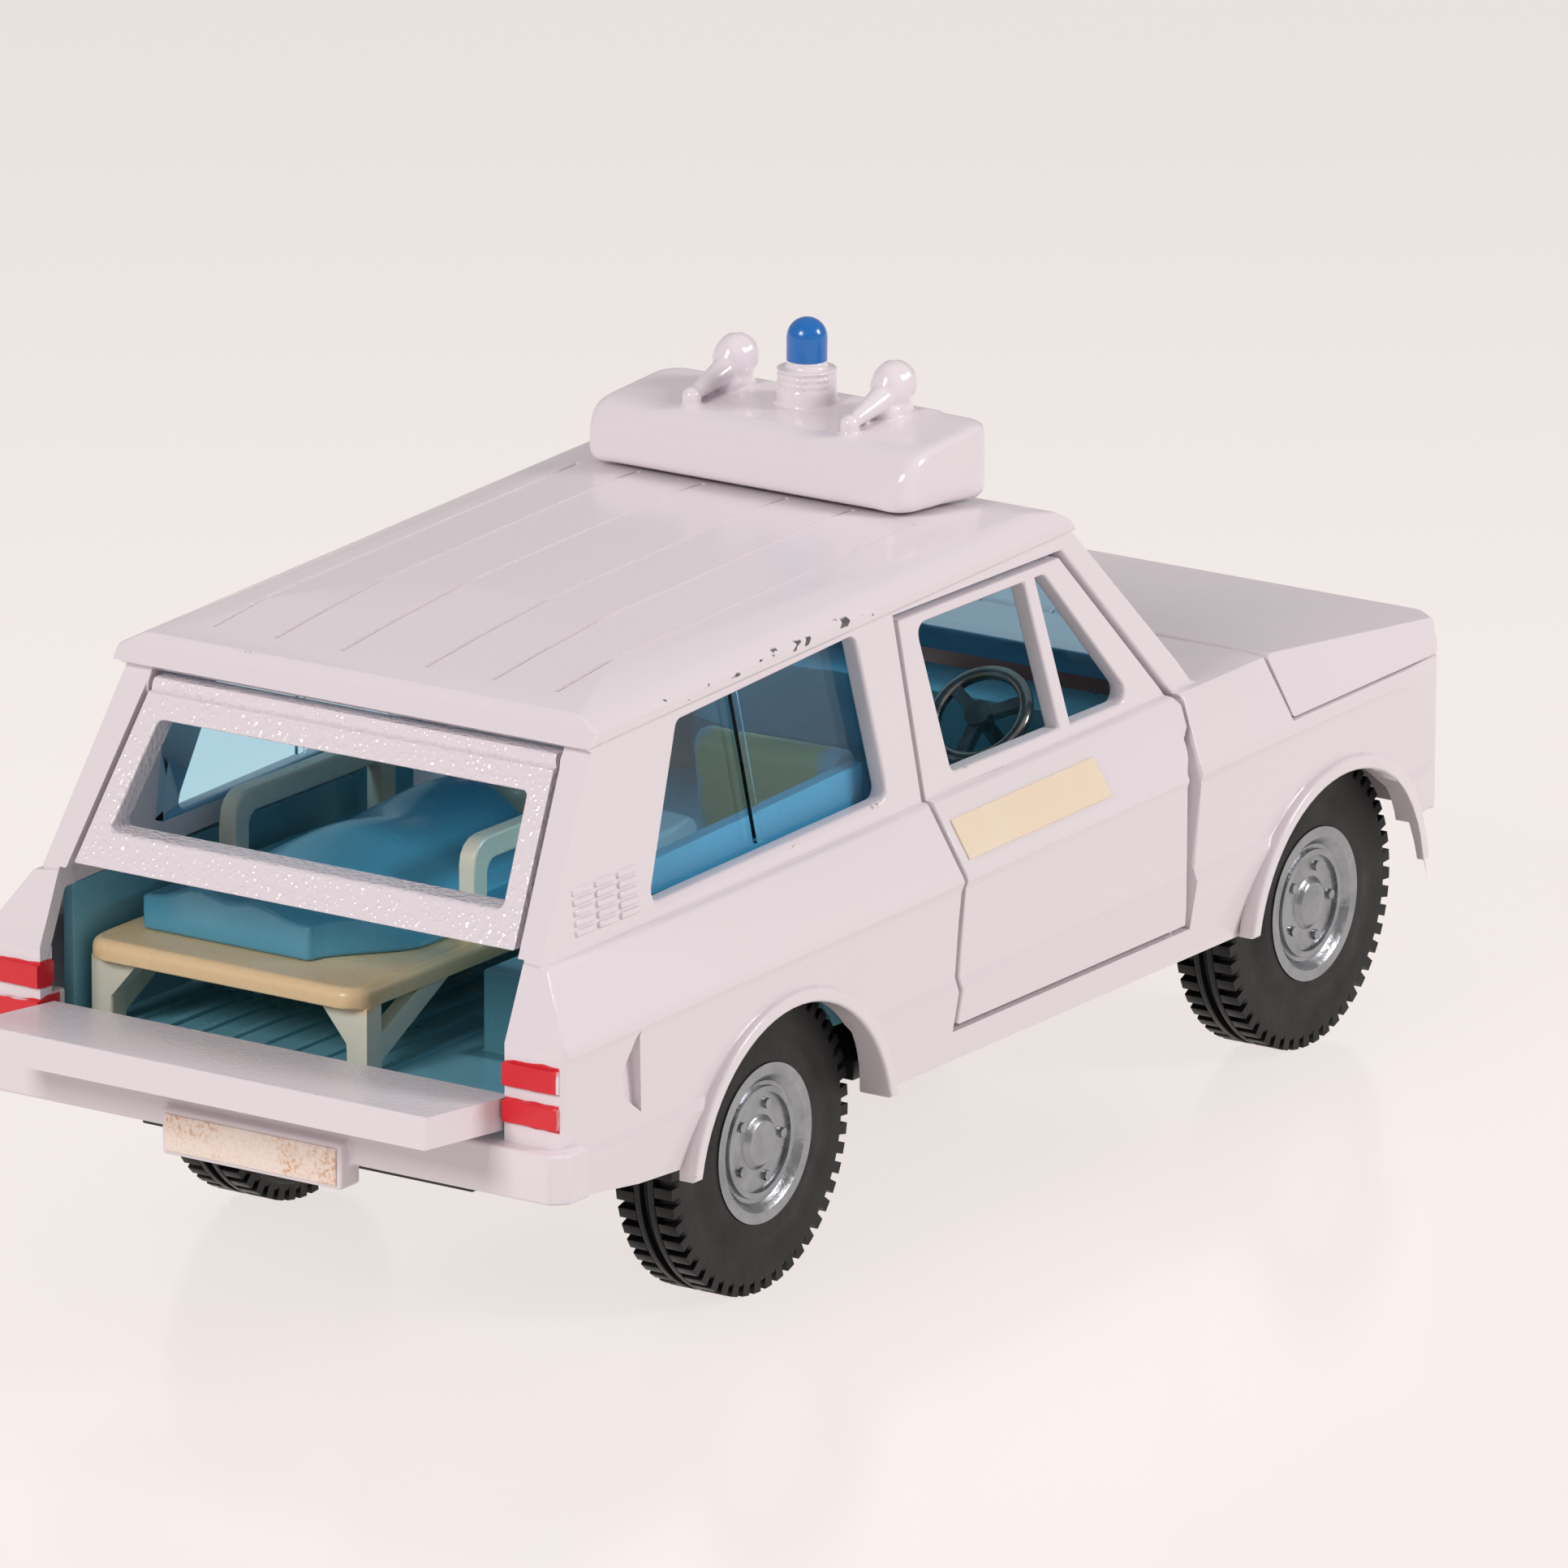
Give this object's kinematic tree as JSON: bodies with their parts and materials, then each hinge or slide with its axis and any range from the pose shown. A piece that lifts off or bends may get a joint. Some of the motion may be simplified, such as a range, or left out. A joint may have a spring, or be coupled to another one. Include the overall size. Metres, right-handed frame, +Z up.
{
  "type": "toy ambulance",
  "caption": "Die-cast toy ambulance with opening doors, bonnet and split tailgate, rolling wheels, roof pod with beacon and horns, and a stretcher.",
  "frame": {"origin": "middle of the toy's length and width, on the ground, with the lower tailgate open as at rest", "axes": "+X forward, +Y to the car's left, +Z up"},
  "size_m": [0.1131, 0.044, 0.0512],
  "materials": {
    "body_paint": "gloss white enamel",
    "beacon_blue": "gloss",
    "blue_glazing": "clear tinted plastic",
    "teal_plastic": "satin",
    "seat_plastic": "satin",
    "plated_plastic": "worn plating",
    "cream_plastic": "waxy, yellowed",
    "blanket_blue": "glossy paint",
    "base_black": "satin black",
    "zinc": "bare cast",
    "steel": "drawn wire",
    "tyre_black": "matt moulded",
    "label_paper": "gloss paper, aged"
  },
  "bodies": {
    "car": {"body_shell": "body_paint", "roof_pod": "body_paint", "beacon_lens": "beacon_blue", "glazing": "blue_glazing", "interior_tub": "teal_plastic", "driver_seat": "seat_plastic", "passenger_seat": "seat_plastic", "steering_wheel": "plated_plastic", "baseplate": "base_black", "base_rivets": "steel", "left_headlamp": "plated_plastic", "right_headlamp": "plated_plastic", "grille": "plated_plastic", "plate_label": "label_paper", "left_door_pin": "steel", "right_door_pin": "steel", "bonnet_rod": "steel", "upper_gate_rod": "steel", "lower_gate_rod": "steel"},
    "left_door": {"left_door": "body_paint", "left_door_label": "label_paper"},
    "right_door": {"right_door": "body_paint", "right_door_label": "label_paper"},
    "bonnet": {"bonnet": "body_paint"},
    "upper_tailgate": {"upper_tailgate": "body_paint"},
    "lower_tailgate": {"lower_tailgate": "body_paint"},
    "stretcher": {"stretcher": "cream_plastic", "blanket": "blanket_blue", "patient_head": "cream_plastic"},
    "front_wheels": {"front_axle": "steel", "front_left_hub": "zinc", "front_right_hub": "zinc", "front_left_tyre": "tyre_black", "front_right_tyre": "tyre_black"},
    "rear_wheels": {"rear_axle": "steel", "rear_left_hub": "zinc", "rear_right_hub": "zinc", "rear_left_tyre": "tyre_black", "rear_right_tyre": "tyre_black"}
  },
  "joints": [
    {"name": "left_door_hinge", "type": "hinge", "parent": "car", "child": "left_door", "pos_m": [0.019, 0.02, 0.015], "axis": [0, 0, -1], "range_deg": [0, 60]},
    {"name": "right_door_hinge", "type": "hinge", "parent": "car", "child": "right_door", "pos_m": [0.019, -0.02, 0.015], "axis": [0, 0, 1], "range_deg": [0, 60]},
    {"name": "bonnet_hinge", "type": "hinge", "parent": "car", "child": "bonnet", "pos_m": [0.03255, 0, 0.02635], "axis": [0, -1, 0], "range_deg": [0, 60]},
    {"name": "upper_tailgate_hinge", "type": "hinge", "parent": "car", "child": "upper_tailgate", "pos_m": [-0.03936, 0, 0.03623], "axis": [0, 1, 0], "range_deg": [0, 75]},
    {"name": "lower_tailgate_hinge", "type": "hinge", "parent": "car", "child": "lower_tailgate", "pos_m": [-0.0477, 0, 0.0168], "axis": [0, -1, 0], "range_deg": [-92, 0]},
    {"name": "stretcher_slide", "type": "slide", "parent": "car", "child": "stretcher", "axis": [-1, 0, 0], "range_m": [-0.0025, 0.0013]},
    {"name": "front_axle_spin", "type": "hinge", "parent": "car", "child": "front_wheels", "pos_m": [0.0375, 0, 0.0095], "axis": [0, 1, 0], "continuous": true},
    {"name": "rear_axle_spin", "type": "hinge", "parent": "car", "child": "rear_wheels", "pos_m": [-0.0245, 0, 0.0095], "axis": [0, 1, 0], "continuous": true}
  ]
}
